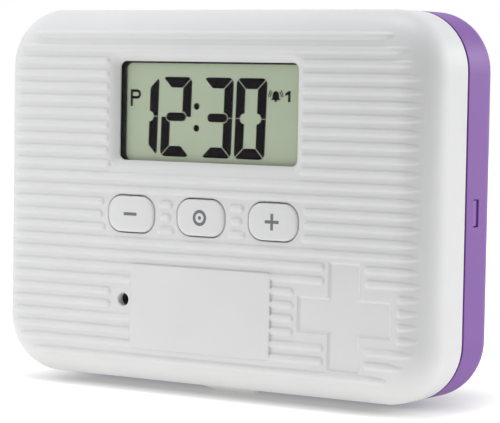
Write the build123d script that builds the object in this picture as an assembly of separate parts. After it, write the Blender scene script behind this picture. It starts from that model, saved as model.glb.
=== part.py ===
from build123d import *
import math
import os

# Pocket pill box with a timer in its lid, standing on its opening edge.
# Millimetres. X runs along the width, Y from the front face to the back, Z up.
# The origin is under the middle of the box, level with the tip of the thumb tab.
# "Depth" below is measured backwards from the crests of the ribs on the front face.
# Sketches of the front view are drawn about the centre of the face.

# ---- the whole box -------------------------------------------------------------
body_width = 108.8
body_height = 80.0
body_depth = 28.5          # rib crests to the back face
lid_depth = 15.3           # rib crests to the rim of the lid
rim_reveal = 0.7           # shadow gap between the two rims
corner_radius = 12.5       # corners seen from the front
front_rounding = 7.5       # round edge of the front face
back_rounding = 4.5        # round edge of the back face
wall = 1.8                 # side walls of both halves, and the back
face_wall = 1.75           # plate behind the ribs
overrun = 1.0              # how far cutting shapes run past what they cut

# ---- ribs of the front face ----------------------------------------------------
rib_pitch = 2.75
rib_height = 0.45
rib_width = 1.65
rib_side_inset = 2.2       # tips of the ribs inside the sides of the outline
rib_end_inset = 4.2        # field of ribs inside the top and bottom of the outline
rib_corner_ease = 1.5      # corners of the field tighter than the outline's
rib_tip_sink = 0.12        # crest of a rib under the surface at its very end
shortest_rib = 0.6

# ---- display -------------------------------------------------------------------
window_width = 45.2
window_height = 21.2
window_middle = 21.7       # middle of the window under the top of the box
window_corner = 1.4
window_rim = 0.4           # straight edge between the sloping bezel and the lens
bezel_width = 1.75
bezel_corner = 3.0
lens_recess = 0.2          # lens behind the inside of the face
lens_thickness = 0.8
lens_lap = 3.4             # lens beyond the window on each side
gasket_thickness = 0.3
gasket_shift_x = 0.5       # the gasket's opening sits a little off the window
gasket_shift_z = -0.9
panel_thickness = 2.2
panel_inset = 1.0          # liquid-crystal panel inside the lens outline
reflector_thickness = 0.3
reflector_gap = 0.2        # between the reflector and the rubber connectors
frame_clearance = 0.3      # between the display stack and the frame around it
frame_wall = 1.2
frame_rise = 3.0           # frame on the inside of the face
zebra_width = 2.0
zebra_inset = 1.0          # rubber connectors inside the ends of the panel

# ---- buttons -------------------------------------------------------------------
button_names = ("hour_button", "mode_button", "minute_button")
button_pitch = 18.0
button_drop = 11.45        # row of buttons under the bottom edge of the window
button_hole_width = 12.4
button_hole_height = 8.2
button_hole_corner = 3.5
button_gap = 0.25
button_proud = 0.3         # crown in front of the rib crests
button_edge_round = 0.45
button_flange_lap = 1.0
button_flange_thickness = 0.8
button_travel = 0.6
button_stem_diameter = 5.0
button_margin = 1.4        # smooth border around each button
press_clearance = 0.1      # left over when a button is down

# ---- sound hole, smooth panel and cross ----------------------------------------
sound_hole_x = -19.9
sound_hole_rise = 17.8     # above the bottom of the box
sound_hole_diameter = 2.8
sound_margin = 2.0
plateau_width = 35.6
plateau_corner = 0.8
plateau_rows = (8, 2)      # its top and bottom ribs, counted from the bottom of the box
cross_inset = 19.1         # middle of the cross inside the right-hand side
cross_rise = 17.9          # above the bottom of the box
cross_span = 21.9
cross_arm = 7.3
cross_depth = 0.45
cross_margin = 1.05

# ---- thumb tab -----------------------------------------------------------------
tab_drop = 1.8
tab_width = 12.6
tab_corner = 1.7
tab_length = 5.6
tab_flat = 0.8

# ---- hinge ---------------------------------------------------------------------
hinge_back = 4.5           # axis behind the rim of the lid
hinge_below_top = 2.3      # axis under the top face
knuckle_radius = 2.2
ear_width = 7.0
ear_centre = 15.0
ear_side_clearance = 0.3
ear_cover_gap = 0.15       # roots of the ears behind the inner cover of the lid
hinge_block_half = 2.4
hinge_block_reach = 22.5
notch_back = 3.9           # how far the notches run behind the axis
notch_floor = 0.35         # room under the ears
pin_diameter = 1.6
pin_fit = 0.05             # radial running clearance in the ears
pin_inset = 0.5            # pin ends inside the outer bosses

# ---- rim of the back shell -----------------------------------------------------
lip_clearance = 0.25
lip_wall = 1.2
lip_cover_gap = 0.3        # front of the lip behind the inner cover of the lid
lip_root = 2.5             # lip behind the rim of the shell
lip_bite = 0.3             # how far its root runs into the wall

# ---- pill tray -----------------------------------------------------------------
tray_columns = 3
tray_rows = 2
tray_drop = 0.2            # top of the tray behind the rim of the shell
tray_flange = 1.0
tray_flange_gap = 0.2
tray_notch_gap = 0.3       # cut-outs of the tray beyond those of the shell
tray_body_gap = 5.2        # tray body inside the outline
tray_wall = 1.2
tray_floor = 1.2
cell_corner = 3.6          # corners and rounded foot of each compartment
snap_window_height = 5.7
snap_window_length = 2.2
snap_window_back = 4.1     # middle of the side windows behind the rim of the shell
snap_window_z = -1.05
snap_tongue_gap = 0.2
snap_tongue_inset = 0.35

# ---- inner cover of the lid ----------------------------------------------------
cover_thickness = 1.3
cover_gap = 0.2
post_diameter = 6.4
post_side_inset = 10.9     # posts inside the outline
post_end_inset = 10.5
post_root = 0.4            # how far posts and collars run into the face
pilot_foot = 1.0           # solid foot of a post under its pilot hole
screw_thread = 2.4
screw_hole = 2.8
screw_length = 7.0
screw_head = 4.6
screw_head_height = 1.2
pilot_gap = 0.03            # between a screw and its pilot hole
latch_width = 9.0
latch_thickness = 1.2
latch_gap = 0.35
latch_side_gap = 1.0       # room beside the latch in the rim of the tray
latch_nib = 0.2
latch_nib_gap = 0.2        # between the nib and the lip that it hooks behind
latch_nib_length = 0.7

# ---- circuit board -------------------------------------------------------------
board_depth = 7.8
board_thickness = 1.2
board_side_margin = 12.9   # board beyond the sides of the window
board_top_margin = 0.2     # board above the lens
board_bottom_gap = 0.4     # board above the battery holder
board_corner = 2.0
board_post_inset = 3.5
board_post_drop = 4.5      # upper posts under the top of the board
board_post_rise = 4.2      # lower posts above its bottom
board_post_diameter = 4.4
board_screw_thread = 1.8
board_screw_hole = 2.2
board_screw_head = 3.4
board_screw_head_height = 0.9
board_screw_length = 4.5
holder_screw_length = 3.6
mat_side_margin = 0.8      # keypad mat beyond the holes of the buttons
mat_top_margin = 1.0
mat_contact_gap = 0.35     # mat above the end of the battery's front contact
mat_thickness = 0.4
dome_base_diameter = 6.0
dome_top_diameter = 4.6
dome_height = 0.8
chip_size = 9.0
chip_thickness = 1.4
chip_x = -9.0
chip_drop = 6.3            # under the middle of the window
crystal_diameter = 2.0
crystal_length = 6.0
crystal_x = 9.0
crystal_drop = 9.3

# ---- buzzer --------------------------------------------------------------------
buzzer_diameter = 14.0
buzzer_thickness = 4.0
buzzer_ledge = 0.4
buzzer_ledge_bore = 10.0
buzzer_gap = 0.1
buzzer_chamfer = 0.4
buzzer_port = 2.0
buzzer_port_depth = 1.0
buzzer_collar_wall = 1.2
buzzer_collar_rise = 3.9
buzzer_lead_spacing = 5.0
buzzer_lead_diameter = 0.8
buzzer_lead_lap = 2.0

# ---- coin cell, its holder and the twist-off door ------------------------------
battery_x = 10.0
coin_diameter = 20.0
coin_thickness = 3.2
coin_edge = 0.4
holder_floor = 0.8
holder_gap = 0.6
holder_wall = 1.3
holder_drop = 0.4          # rim of the holder in front of the back of the cell
holder_slot = 13.0
holder_ear_reach = 2.6     # screws of the holder outside its cup
holder_ear_diameter = 5.0
contact_thickness = 0.35
contact_width = 4.0
contact_offset = 3.5
contact_lap = 1.0
contact_gap = 0.05         # between a contact and the cell
contact_pad = 8.0          # diameter of the pad under the cell
contact_tail = 3.0         # strip beyond the middle of the pad
door_hub_diameter = 24.6
door_hub_gap = 0.2
door_flange_diameter = 28.0
door_flange_thickness = 0.7
door_flange_gap = 0.1
door_latch_gap = 0.2       # between the door and the latch of the lid
door_cell_gap = 0.2
door_lug_gap = 0.2         # between the lugs and the inner cover
door_lug_thickness = 0.6
door_lug_angle = 32.0
door_turn = 45.0
coin_slot_length = 15.0
coin_slot_width = 1.8
coin_slot_depth = 0.9

# ---- derived places: depths, from the ribs to the back --------------------------
front_y = button_proud - (body_depth + button_proud) / 2
face_depth = rib_height
inner_depth = face_depth + face_wall
shell_depth = lid_depth + rim_reveal
hinge_depth = lid_depth + hinge_back
lens_depth = inner_depth + lens_recess
gasket_depth = lens_depth + lens_thickness
panel_depth = gasket_depth + gasket_thickness
zebra_depth = panel_depth + panel_thickness
board_back = board_depth + board_thickness
coin_depth = board_depth
coin_back = coin_depth + coin_thickness
holder_floor_depth = coin_depth - contact_gap - contact_thickness
door_lug_depth = coin_back + door_cell_gap
cover_depth = door_lug_depth + door_lug_thickness + door_lug_gap
cover_back = cover_depth + cover_thickness
ear_root_depth = cover_back + ear_cover_gap
lip_depth = cover_back + lip_cover_gap
latch_end = shell_depth + lip_root + latch_nib_gap + latch_nib_length
tray_top_depth = shell_depth + tray_drop
snap_window_depth = shell_depth + snap_window_back

# ---- derived places: the front view, from the middle of the face ----------------
body_z = tab_drop + body_height / 2
bottom = -body_height / 2
flat_half_height = body_height / 2 - front_rounding
corner_x = body_width / 2 - corner_radius
corner_z = body_height / 2 - corner_radius
rib_field_half_width = body_width / 2 - rib_side_inset
rib_field_half_height = body_height / 2 - rib_end_inset
rib_rows = int(2 * rib_field_half_height / rib_pitch)
top_row_z = rib_pitch * (rib_rows - 1) / 2
rib_radius = (rib_width ** 2 / 4 + rib_height ** 2) / (2 * rib_height)
rib_sink = rib_radius - rib_height
hinge_z = body_height / 2 - hinge_below_top
window_z = body_height / 2 - window_middle
lens_width = window_width + 2 * lens_lap
lens_height = window_height + 2 * lens_lap
button_z = window_z - window_height / 2 - button_drop
sound_hole_z = bottom + sound_hole_rise
cross_x = body_width / 2 - cross_inset
cross_z = bottom + cross_rise
latch_z = bottom + wall + lip_clearance + lip_wall + latch_gap
battery_z = latch_z + latch_thickness + door_latch_gap + door_flange_diameter / 2
holder_inner = coin_diameter / 2 + holder_gap
holder_outer = holder_inner + holder_wall
holder_ears = (battery_x - holder_outer - holder_ear_reach,
               battery_x + holder_outer + holder_ear_reach)
board_half_width = window_width / 2 + board_side_margin
board_top_z = window_z + lens_height / 2 + board_top_margin
board_bottom_z = battery_z + holder_outer + board_bottom_gap
board_posts = [(x, z) for x in (board_post_inset - board_half_width,
                                board_half_width - board_post_inset)
               for z in (board_top_z - board_post_drop, board_bottom_z + board_post_rise)]
post_x = body_width / 2 - post_side_inset
post_z = body_height / 2 - post_end_inset
cover_posts = [(x, z) for x in (-post_x, post_x) for z in (-post_z, post_z)]
post_pilot = screw_thread + 2 * pilot_gap
board_pilot = board_screw_thread + 2 * pilot_gap


# ---- helpers -------------------------------------------------------------------
def view_plane(depth):
    """Front view: sketch x is X, sketch y is Z, both from the centre of the face."""
    return Plane(origin=(0, front_y + depth, body_z), x_dir=(1, 0, 0), z_dir=(0, -1, 0))


def slab(sketch, start, end):
    """Solid of a front-view sketch between two depths."""
    return extrude(view_plane(end) * sketch, amount=end - start)


def outline(inset):
    """The box's outline, drawn in by an even distance."""
    return RectangleRounded(body_width - 2 * inset, body_height - 2 * inset,
                            corner_radius - inset)


def disc(x, z, diameter, start, end):
    return slab(Pos(x, z) * Circle(diameter / 2), start, end)


def bar(x0, x1, z0, z1, start, end):
    """Block between two depths, given by its sides in the front view."""
    sketch = Pos((x0 + x1) / 2, (z0 + z1) / 2) * Rectangle(x1 - x0, z1 - z0)
    return slab(sketch, start, end)


def edges_at_depth(solid, depth):
    y = front_y + depth
    return solid.edges().filter_by_position(Axis.Y, y - 0.01, y + 0.01)


def point(x, depth, z):
    return Vector(x, front_y + depth, body_z + z)


def side_prism(points, x0, x1):
    """Solid of a side-view outline, (depth, z) points, between two widths."""
    wire = Polyline(*[point(x0, d, z) for d, z in points], close=True)
    return extrude(make_face(wire), amount=x1 - x0, dir=(1, 0, 0))


def cylinder_x(depth, z, diameter, x0, x1):
    plane = Plane(origin=point(x0, depth, z), x_dir=(0, 1, 0), z_dir=(1, 0, 0))
    return extrude(plane * Circle(diameter / 2), amount=x1 - x0)


def screw(x, z, start, thread, length, head, head_height):
    """Screw with its head's underside at a depth; the shank runs forwards."""
    shank = disc(x, z, thread, start - length, start)
    crown = disc(x, z, head, start, start + head_height)
    crown = chamfer(edges_at_depth(crown, start + head_height), head_height / 3)
    return shank + crown


def row_z(row):
    return top_row_z - rib_pitch * row


# ---- rib layout ----------------------------------------------------------------
def beyond_flat(x, z):
    """Distance outside the flat of the face, along its round edge; 0 on the flat."""
    qx = abs(x) - corner_x
    qz = abs(z) - corner_z
    outside = math.hypot(max(qx, 0), max(qz, 0)) + min(max(qx, qz), 0)
    return max(outside - corner_radius + front_rounding, 0)


def reach_at(z, beyond):
    """Half-width of a row where it lies a given distance outside the flat."""
    qz = max(abs(z) - corner_z, 0)
    ring = corner_radius - front_rounding + beyond
    return corner_x + math.sqrt(max(ring ** 2 - qz ** 2, 0))


def rounded_half_width(dz, half_width, half_height, radius):
    """Half-width of a rounded rectangle at a height from its middle, or None."""
    if abs(dz) >= half_height:
        return None
    over = max(abs(dz) - (half_height - radius), 0)
    return half_width - radius + math.sqrt(radius ** 2 - over ** 2)


def gaps_in_row(z):
    """Stretches of a row where the face stays smooth, as (from, to) in X."""
    half_rib = rib_width / 2
    gaps = []
    half = rounded_half_width(z - window_z, window_width / 2 + bezel_width,
                              window_height / 2 + bezel_width + half_rib / 2,
                              bezel_corner)
    if half:
        gaps.append((-half, half))
    for column in (-1, 0, 1):
        half = rounded_half_width(z - button_z,
                                  button_hole_width / 2 + button_margin,
                                  button_hole_height / 2 + button_margin - half_rib / 2,
                                  button_hole_corner + button_margin - half_rib / 2)
        if half:
            gaps.append((column * button_pitch - half, column * button_pitch + half))
    if abs(z - sound_hole_z) < sound_hole_diameter / 2 + half_rib:
        gaps.append((sound_hole_x - sound_hole_diameter / 2 - sound_margin, 0))
    span = cross_span / 2 + cross_margin
    arm = cross_arm / 2 + cross_margin
    dz = abs(z - cross_z)
    if dz < cross_arm / 2 + half_rib:
        gaps.append((cross_x - span, cross_x + span))
    elif dz < cross_span / 2 + half_rib / 2:
        gaps.append((cross_x - arm, cross_x + arm))
    return sorted(gaps)


def rib_runs(z):
    """The lengths of rib in one row, as (from, to) in X, noses and tips included."""
    end = rounded_half_width(z, rib_field_half_width, rib_field_half_height,
                             corner_radius - rib_corner_ease)
    runs = []
    start = -end
    for gap_start, gap_end in gaps_in_row(z):
        if gap_start > start:
            runs.append((start, gap_start))
        start = max(start, gap_end)
    runs.append((start, end))
    return [run for run in runs if run[1] - run[0] > rib_width + shortest_rib]


def rib_level(z):
    """Depth of a rib's axis along the straight of its row."""
    radius = front_rounding - rib_sink
    fall = max(abs(z) - flat_half_height, 0)
    return face_depth + front_rounding - math.sqrt(radius ** 2 - fall ** 2)


def bent_end(side, inner, tip, z):
    """Axis of a rib's end, which bends faster than the edge it runs on and sinks in."""
    bend = reach_at(z, 0)
    angle = math.asin(beyond_flat(tip, z) / front_rounding)
    radius = front_rounding - rib_radius - rib_tip_sink
    tip_x = reach_at(z, radius * math.sin(angle))
    tip_depth = face_depth + front_rounding - radius * math.cos(angle)
    run = tip_x - bend
    drop = tip_depth - rib_level(z)
    arc = TangentArc(point(side * bend, rib_level(z), z), point(side * tip_x, tip_depth, z),
                     tangent=(side, 0, 0))
    if inner <= bend:
        return arc
    bend_radius = (run ** 2 + drop ** 2) / (2 * drop)
    start = math.asin((inner - bend) / bend_radius) / math.asin(run / bend_radius)
    return arc.trim(start, 1)


def make_rib(x0, x1, z):
    """Round bar, mostly sunk in the wall of the face, with a ball or a bend at each end."""
    bend = reach_at(z, 0)
    nose = rib_width / 2
    left = x0 + nose
    right = x1 - nose
    pieces = []
    paths = []
    if left < bend and right > -bend:
        paths.append(Line(point(max(left, -bend), rib_level(z), z),
                          point(min(right, bend), rib_level(z), z)))
    if x1 > bend:
        paths.append(bent_end(1, left, x1, z))
    else:
        pieces.append(Pos(paths[0] @ 1) * Sphere(rib_radius))
    if x0 < -bend:
        paths.append(bent_end(-1, -right, -x0, z))
    else:
        pieces.append(Pos(paths[0] @ 0) * Sphere(rib_radius))
    for path in paths:
        section = Plane(origin=path @ 0, z_dir=path % 0) * Circle(rib_radius)
        pieces.append(sweep(section, path=path))
    return pieces[0].fuse(*pieces[1:])


def face_ribs():
    ribs = []
    for row in range(rib_rows):
        z = row_z(row)
        ribs += [make_rib(x0, x1, z) for x0, x1 in rib_runs(z)]
    return ribs


# ---- front cover ---------------------------------------------------------------
def cross_sketch():
    bars = Rectangle(cross_span, cross_arm) + Rectangle(cross_arm, cross_span)
    return Pos(cross_x, cross_z) * bars


def button_sketch(column, grow):
    sketch = RectangleRounded(button_hole_width + 2 * grow, button_hole_height + 2 * grow,
                              button_hole_corner + grow)
    return Pos(column * button_pitch, button_z) * sketch


def window_sketch(grow, corner):
    shape = RectangleRounded(window_width + 2 * grow, window_height + 2 * grow, corner)
    return Pos(0, window_z) * shape


def thumb_tab():
    """Tab under the rim of the lid that a thumb lifts: a wedge with round corners."""
    profile = side_prism([(lid_depth - tab_length, bottom + wall / 2),
                          (lid_depth - tab_length, bottom),
                          (lid_depth - tab_flat, bottom - tab_drop),
                          (lid_depth, bottom - tab_drop),
                          (lid_depth, bottom + wall / 2)], -tab_width / 2, tab_width / 2)
    plan = Pos(0, bottom) * RectangleRounded(tab_width, 2 * tab_drop, tab_corner)
    return profile & slab(plan, lid_depth - tab_length, lid_depth)


def hinge_ear(side):
    """Arm from the lid's top wall to its knuckle on the hinge pin."""
    x0 = side * ear_centre - ear_width / 2
    x1 = x0 + ear_width
    low = hinge_z - knuckle_radius
    arm = bar(x0, x1, low, body_height / 2, ear_root_depth, hinge_depth)
    end = bar(x0, x1, low, body_height / 2, lid_depth, hinge_depth + hinge_below_top)
    knuckle = cylinder_x(hinge_depth, hinge_z, 2 * hinge_below_top, x0, x1)
    bore = cylinder_x(hinge_depth, hinge_z, pin_diameter + 2 * pin_fit, x0, x1)
    return arm + (knuckle & end) - bore


def front_cover():
    body = slab(outline(0), face_depth, lid_depth)
    body = fillet(edges_at_depth(body, face_depth), front_rounding)
    root = inner_depth - post_root
    plateau_top, plateau_bottom = [row_z(rib_rows - row) for row in plateau_rows]
    plateau = Pos(0, (plateau_top + plateau_bottom) / 2) * RectangleRounded(
        plateau_width, plateau_top - plateau_bottom + rib_width, plateau_corner)
    body += slab(plateau, 0, root)
    body += face_ribs()
    cavity = slab(outline(wall), inner_depth, lid_depth)
    cavity = fillet(edges_at_depth(cavity, inner_depth), front_rounding - wall)
    cover = body - cavity

    frame_inner = frame_clearance + lens_lap
    pocket = window_sketch(frame_inner, window_corner)
    ring = window_sketch(frame_inner + frame_wall, bezel_corner) - pocket
    additions = [slab(ring, root, inner_depth + frame_rise), slab(pocket, root, lens_depth)]
    additions += [disc(x, z, post_diameter, root, cover_depth) for x, z in cover_posts]
    additions += [disc(x, z, board_post_diameter, root, board_depth) for x, z in board_posts]
    additions += [disc(x, battery_z, board_post_diameter, root,
                       holder_floor_depth - holder_floor) for x in holder_ears]
    well = buzzer_diameter + 2 * buzzer_gap
    additions.append(disc(sound_hole_x, sound_hole_z, well + 2 * buzzer_collar_wall, root,
                          inner_depth + buzzer_collar_rise))
    cover += additions
    cover += [thumb_tab(), hinge_ear(-1), hinge_ear(1)]

    seat = inner_depth + buzzer_ledge
    cuts = [disc(sound_hole_x, sound_hole_z, well, seat, lid_depth),
            disc(sound_hole_x, sound_hole_z, buzzer_ledge_bore, inner_depth, seat),
            disc(sound_hole_x, sound_hole_z, sound_hole_diameter, -overrun, inner_depth),
            slab(cross_sketch(), -overrun, face_depth + cross_depth),
            slab(window_sketch(0, window_corner), -overrun, lens_depth),
            slab(pocket, lens_depth, inner_depth + frame_rise)]
    cuts += [slab(button_sketch(column, 0), -overrun, inner_depth + overrun)
             for column in (-1, 0, 1)]
    cuts += [disc(x, z, post_pilot, cover_depth - screw_length, cover_depth)
             for x, z in cover_posts]
    cuts += [disc(x, z, board_pilot, inner_depth + pilot_foot, board_depth)
             for x, z in board_posts]
    cuts += [disc(x, battery_z, board_pilot, inner_depth + pilot_foot, board_depth)
             for x in holder_ears]
    cuts.append(loft([view_plane(face_depth) * window_sketch(bezel_width, bezel_corner),
                      view_plane(lens_depth - window_rim) * window_sketch(0, window_corner)]))
    return cover - cuts


# ---- display stack -------------------------------------------------------------
def lens_sketch(inset):
    shape = RectangleRounded(lens_width - 2 * inset, lens_height - 2 * inset, window_corner)
    return Pos(0, window_z) * shape


def display_window():
    return slab(lens_sketch(0), lens_depth, gasket_depth)


def display_gasket():
    opening = RectangleRounded(window_width, window_height, window_corner)
    opening = Pos(gasket_shift_x, window_z + gasket_shift_z) * opening
    return slab(lens_sketch(0) - opening, gasket_depth, panel_depth)


def lcd_panel():
    return slab(lens_sketch(panel_inset + frame_clearance), panel_depth, zebra_depth)


def lcd_reflector():
    half_width = lens_width / 2 - panel_inset - frame_clearance
    half_height = lens_height / 2 - panel_inset - frame_clearance - zebra_width - reflector_gap
    return bar(-half_width, half_width, window_z - half_height, window_z + half_height,
               zebra_depth, zebra_depth + reflector_thickness)


def lcd_frame():
    ring = lens_sketch(0) - lens_sketch(panel_inset)
    return slab(ring, panel_depth, board_depth)


def zebra_connectors():
    half_width = lens_width / 2 - panel_inset - frame_clearance - zebra_inset
    edge = lens_height / 2 - panel_inset - frame_clearance
    strips = []
    for side in (-1, 1):
        z = window_z + side * (edge - zebra_width / 2)
        strips.append(bar(-half_width, half_width, z - zebra_width / 2,
                          z + zebra_width / 2, zebra_depth, board_depth))
    return strips


# ---- buttons and their board ---------------------------------------------------
def push_button(column):
    """Cap, flange that keeps it behind the face, and the stem over its dome."""
    flange_depth = inner_depth + button_gap
    flange_back = flange_depth + button_flange_thickness
    cap = slab(button_sketch(column, -button_gap), -button_proud, flange_back)
    cap = fillet(edges_at_depth(cap, -button_proud), button_edge_round)
    flange = Pos(column * button_pitch, button_z) * Rectangle(
        button_hole_width + 2 * button_flange_lap, button_hole_height + 2 * button_flange_lap)
    flange = slab(flange, flange_depth, flange_back)
    stem_end = board_depth - mat_thickness - dome_height - press_clearance - button_travel
    stem = disc(column * button_pitch, button_z, button_stem_diameter, flange_back, stem_end)
    return cap + flange + stem


def keypad_mat():
    top = board_depth - mat_thickness
    half_width = button_pitch + button_hole_width / 2 + mat_side_margin
    mat = bar(-half_width, half_width, board_bottom_z + contact_lap + mat_contact_gap,
              button_z + button_hole_height / 2 + mat_top_margin, top, board_depth)
    for column in (-1, 0, 1):
        centre = Pos(column * button_pitch, button_z)
        dome = loft([view_plane(top) * centre * Circle(dome_base_diameter / 2),
                     view_plane(top - dome_height) * centre * Circle(dome_top_diameter / 2)])
        mat += dome
    return mat


def circuit_board():
    height = board_top_z - board_bottom_z
    sheet = Pos(0, board_bottom_z + height / 2) * RectangleRounded(
        2 * board_half_width, height, board_corner)
    board = slab(sheet, board_depth, board_back)
    return board - [disc(x, z, board_screw_hole, board_depth, board_back)
                    for x, z in board_posts]


def timer_chip():
    sketch = Pos(chip_x, window_z - chip_drop) * Rectangle(chip_size, chip_size)
    return slab(sketch, board_back, board_back + chip_thickness)


def quartz_crystal():
    depth = board_back + crystal_diameter / 2
    return cylinder_x(depth, window_z - crystal_drop, crystal_diameter, crystal_x,
                      crystal_x + crystal_length)


def board_screws():
    return [screw(x, z, board_back, board_screw_thread, board_screw_length,
                  board_screw_head, board_screw_head_height) for x, z in board_posts]


# ---- buzzer --------------------------------------------------------------------
def alarm_buzzer():
    seat = inner_depth + buzzer_ledge
    can = disc(sound_hole_x, sound_hole_z, buzzer_diameter, seat, seat + buzzer_thickness)
    port = disc(sound_hole_x, sound_hole_z, buzzer_port, seat, seat + buzzer_port_depth)
    return chamfer(edges_at_depth(can, seat + buzzer_thickness), buzzer_chamfer) - port


def buzzer_leads():
    """Two stiff wires from the back of the buzzer to the edge of the board."""
    back = inner_depth + buzzer_ledge + buzzer_thickness
    depth = board_back + buzzer_lead_diameter / 2
    leads = []
    for side in (-1, 1):
        x = sound_hole_x + side * buzzer_lead_spacing / 2
        section = Plane(origin=point(x, back, sound_hole_z), z_dir=(0, 1, 0))
        path = Polyline(point(x, back, sound_hole_z), point(x, depth, sound_hole_z),
                        point(x, depth, board_bottom_z + buzzer_lead_lap))
        leads.append(sweep(section * Circle(buzzer_lead_diameter / 2), path=path,
                           transition=Transition.RIGHT))
    return leads


# ---- coin cell -----------------------------------------------------------------
def coin_cell():
    cell = disc(battery_x, battery_z, coin_diameter, coin_depth, coin_back)
    return chamfer(edges_at_depth(cell, coin_back), coin_edge)


def battery_holder():
    """Cup around the coin cell with two ears that screw to the front cover."""
    floor_front = holder_floor_depth - holder_floor
    rim = coin_back - holder_drop
    half_ear = holder_ear_diameter / 2
    ears = [disc(x, battery_z, holder_ear_diameter, floor_front, holder_floor_depth)
            for x in holder_ears]
    arms = bar(*holder_ears, battery_z - half_ear, battery_z + half_ear, floor_front,
               holder_floor_depth)
    cup = disc(battery_x, battery_z, 2 * holder_outer, floor_front, rim) + ears + arms
    cup -= disc(battery_x, battery_z, 2 * holder_inner, holder_floor_depth, rim)
    cup -= [disc(x, battery_z, board_screw_hole, floor_front, holder_floor_depth)
            for x in holder_ears]
    return cup - bar(battery_x - holder_slot / 2, battery_x + holder_slot / 2, battery_z,
                     battery_z + holder_outer + overrun, holder_floor_depth, rim)


def holder_screws():
    return [screw(x, battery_z, holder_floor_depth, board_screw_thread,
                  holder_screw_length, board_screw_head, board_screw_head_height)
            for x in holder_ears]


def battery_contact_negative():
    """Flat strip under the cell that runs up to the front of the board."""
    x = battery_x - contact_offset
    end = coin_depth - contact_gap
    strip = bar(x - contact_width / 2, x + contact_width / 2, battery_z - contact_tail,
                board_bottom_z + contact_lap, holder_floor_depth, end)
    return strip + disc(battery_x, battery_z, contact_pad, holder_floor_depth, end)


def battery_contact_positive():
    """Bent strip that touches the rim of the cell and laps onto the board."""
    x0 = battery_x + contact_offset - contact_width / 2
    x1 = x0 + contact_width
    reach = math.sqrt((coin_diameter / 2) ** 2 - (x0 - battery_x) ** 2)
    wall_z = battery_z + reach + contact_gap
    back = board_back + contact_thickness
    spring = bar(x0, x1, wall_z, wall_z + contact_thickness, coin_depth, back)
    tail = bar(x0, x1, wall_z, board_bottom_z + contact_lap, board_back, back)
    return spring + tail


def door_wedge(angle, start, end):
    """Sector of the door's lug ring, centred on an angle from the X axis."""
    radius = door_flange_diameter / 2
    half = math.radians(door_lug_angle / 2)
    middle = math.radians(angle)
    far = radius / math.cos(half) + overrun
    ends = [(far * math.cos(a), far * math.sin(a)) for a in (middle - half, middle + half)]
    sketch = make_face(Polyline((0, 0), *ends, close=True)) & Circle(radius)
    return slab(Pos(battery_x, battery_z) * sketch, start, end)


def battery_door():
    """Coin-slot door: flange in the cover's recess, hub, and two lugs behind it."""
    flange_back = cover_back
    flange_front = flange_back - door_flange_thickness
    door = disc(battery_x, battery_z, door_flange_diameter, flange_front, flange_back)
    door += disc(battery_x, battery_z, door_hub_diameter, door_lug_depth, flange_front)
    for angle in (0, 180):
        door += door_wedge(angle, door_lug_depth, door_lug_depth + door_lug_thickness)
    slot = Pos(battery_x, battery_z) * SlotOverall(coin_slot_length, coin_slot_width)
    return door - slab(slot, flange_back - coin_slot_depth, flange_back)


# ---- inner cover of the lid ----------------------------------------------------
def inner_cover():
    """Plate that closes the lid from behind, with the battery door's seat."""
    inset = wall + cover_gap
    cover = slab(outline(inset), cover_depth, cover_back)
    hub = door_hub_diameter + 2 * door_hub_gap
    flange = door_flange_diameter + 2 * door_hub_gap
    flange_front = cover_back - door_flange_thickness - door_flange_gap
    cuts = [disc(battery_x, battery_z, hub, cover_depth, cover_back),
            disc(battery_x, battery_z, flange, flange_front, cover_back)]
    cuts += [door_wedge(angle, cover_depth, cover_back)
             for angle in (-door_turn, 180 - door_turn)]
    cuts += [disc(x, z, screw_hole, cover_depth, cover_back) for x, z in cover_posts]
    half = latch_width / 2
    latch = bar(-half, half, latch_z, latch_z + latch_thickness, cover_depth, latch_end)
    nib = bar(-half, half, latch_z - latch_nib, latch_z + latch_thickness,
              latch_end - latch_nib_length, latch_end)
    return cover - cuts + latch + nib


def cover_screws():
    return [screw(x, z, cover_back, screw_thread, screw_length, screw_head,
                  screw_head_height) for x, z in cover_posts]


# ---- back shell ----------------------------------------------------------------
def ear_notches():
    """The two cut-outs in the top of the back shell that the lid's ears swing in."""
    half = ear_width / 2 + ear_side_clearance
    return [bar(side * ear_centre - half, side * ear_centre + half,
                hinge_z - knuckle_radius - notch_floor, body_height / 2 + overrun,
                lip_depth - overrun, hinge_depth + notch_back)
            for side in (-1, 1)]


def back_shell():
    shell = slab(outline(0), shell_depth, body_depth)
    shell = fillet(edges_at_depth(shell, body_depth), back_rounding)
    cavity = slab(outline(wall), shell_depth, body_depth - wall)
    cavity = fillet(edges_at_depth(cavity, body_depth - wall), back_rounding - wall)
    shell -= cavity
    lip_outer = wall + lip_clearance
    lip_inner = lip_outer + lip_wall
    lip_end = shell_depth + lip_root
    shell += slab(outline(wall - lip_bite) - outline(lip_inner), shell_depth, lip_end)
    shell += slab(outline(lip_outer) - outline(lip_inner), lip_depth, lip_end)
    shell += bar(-hinge_block_reach, hinge_block_reach, hinge_z - hinge_block_half,
                 body_height / 2 - wall / 2, hinge_depth - hinge_block_half,
                 hinge_depth + hinge_block_half)
    half_length = snap_window_length / 2
    half_height = snap_window_height / 2
    windows = bar(-body_width / 2 - overrun, body_width / 2 + overrun,
                  snap_window_z - half_height, snap_window_z + half_height,
                  snap_window_depth - half_length, snap_window_depth + half_length)
    return shell - ear_notches() - hinge_pin() - windows


def hinge_pin():
    pin_reach = hinge_block_reach - pin_inset
    return cylinder_x(hinge_depth, hinge_z, pin_diameter, -pin_reach, pin_reach)


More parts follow.
